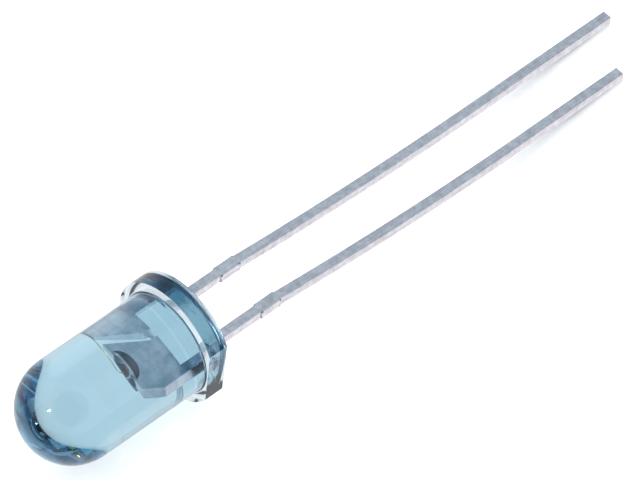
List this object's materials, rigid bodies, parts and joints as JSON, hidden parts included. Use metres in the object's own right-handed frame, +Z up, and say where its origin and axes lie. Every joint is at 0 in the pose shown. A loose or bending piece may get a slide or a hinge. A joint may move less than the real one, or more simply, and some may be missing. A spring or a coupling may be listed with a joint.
{
  "type": "through hole led",
  "caption": "Through-hole light-emitting diode with a clear blue-tinted domed body, a flange with a flat, and long square leads.",
  "frame": {"origin": "On the surface that the part lies on, under the middle of its length and width.", "axes": "+Z up. The nose points to -X and the leads to +X. The part lies on the rim of its flange and on both lead tips, so its own axis is 6 degrees nose-up, and it is rolled 4 degrees about that axis. The flange's flat, on the cathode side, faces -Y."},
  "size_m": [0.0348, 0.0056, 0.0061],
  "materials": {
    "epoxy": "clear, polished, blue-tinted cast epoxy",
    "plated_lead": "satin tin plate on stamped steel",
    "chip": "sawn semiconductor",
    "silver_adhesive": "dull silver-filled adhesive",
    "gold": "bright drawn gold wire"
  },
  "bodies": {
    "root": {"lens": "epoxy", "anode_lead": "plated_lead", "cathode_lead": "plated_lead", "die": "chip", "die_attach": "silver_adhesive", "bond_wire": "gold"}
  },
  "joints": []
}
